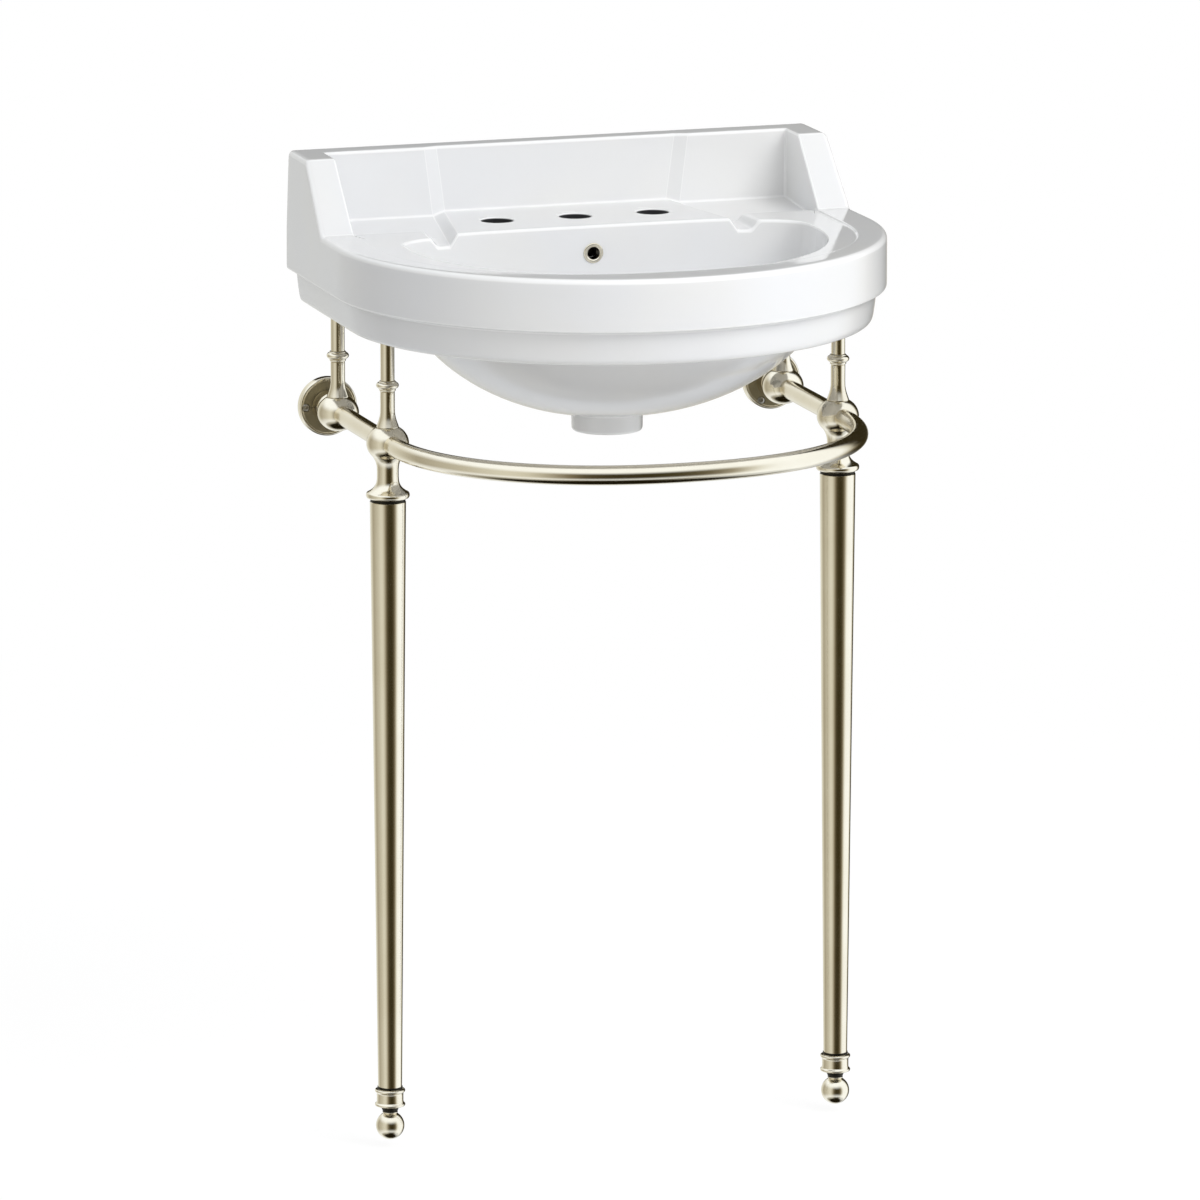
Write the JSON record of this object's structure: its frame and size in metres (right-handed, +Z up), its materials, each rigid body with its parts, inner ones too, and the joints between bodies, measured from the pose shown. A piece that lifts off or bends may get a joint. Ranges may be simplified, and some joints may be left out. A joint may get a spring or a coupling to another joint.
{
  "type": "console sink",
  "caption": "Bow-fronted glazed china basin with an upstand and soap ledges on a metal stand: a U-shaped towel rail, ball fittings, tapered legs and levelling ball feet",
  "frame": {"origin": "the middle of the basin's back face, on the wall plane, at the height of the rim", "axes": "X to the right as seen from the front, Y towards the wall, Z up"},
  "size_m": [0.56, 0.46, 0.972],
  "materials": {
    "glazed_china": "white vitreous china with a clear gloss glaze",
    "polished_nickel": "brass with a warm polished nickel plating",
    "plain_steel": "plain turned steel",
    "grey_rubber": "dark grey moulded rubber"
  },
  "bodies": {
    "root": {"basin": "glazed_china", "flange_screw_left_1": "plain_steel", "flange_screw_left_2": "plain_steel", "flange_screw_left_3": "plain_steel", "flange_screw_right_1": "plain_steel", "flange_screw_right_2": "plain_steel", "flange_screw_right_3": "plain_steel", "front_ball_left": "polished_nickel", "front_ball_right": "polished_nickel", "leg_bush_left": "plain_steel", "leg_bush_right": "plain_steel", "leg_tube_left": "polished_nickel", "leg_tube_right": "polished_nickel", "overflow_ring": "polished_nickel", "post_collar_front_left": "polished_nickel", "post_collar_front_right": "polished_nickel", "post_collar_rear_left": "polished_nickel", "post_collar_rear_right": "polished_nickel", "post_front_left": "polished_nickel", "post_front_right": "polished_nickel", "post_rear_left": "polished_nickel", "post_rear_right": "polished_nickel", "rear_ball_left": "polished_nickel", "rear_ball_right": "polished_nickel", "support_pad_front_left": "grey_rubber", "support_pad_front_right": "grey_rubber", "support_pad_rear_left": "grey_rubber", "support_pad_rear_right": "grey_rubber", "support_pin_front_left": "polished_nickel", "support_pin_front_right": "polished_nickel", "support_pin_rear_left": "polished_nickel", "support_pin_rear_right": "polished_nickel", "towel_rail": "polished_nickel", "wall_flange_left": "polished_nickel", "wall_flange_right": "polished_nickel"},
    "foot_left": {"foot_ball_left": "polished_nickel", "foot_collar_left": "polished_nickel", "foot_stud_left": "plain_steel"},
    "foot_right": {"foot_ball_right": "polished_nickel", "foot_collar_right": "polished_nickel", "foot_stud_right": "plain_steel"}
  },
  "joints": [
    {"name": "level_left", "type": "slide", "parent": "root", "child": "foot_left", "axis": [0, 0, 1], "range_m": [-0.008, 0.003]},
    {"name": "level_right", "type": "slide", "parent": "root", "child": "foot_right", "axis": [0, 0, 1], "range_m": [-0.008, 0.003]}
  ]
}
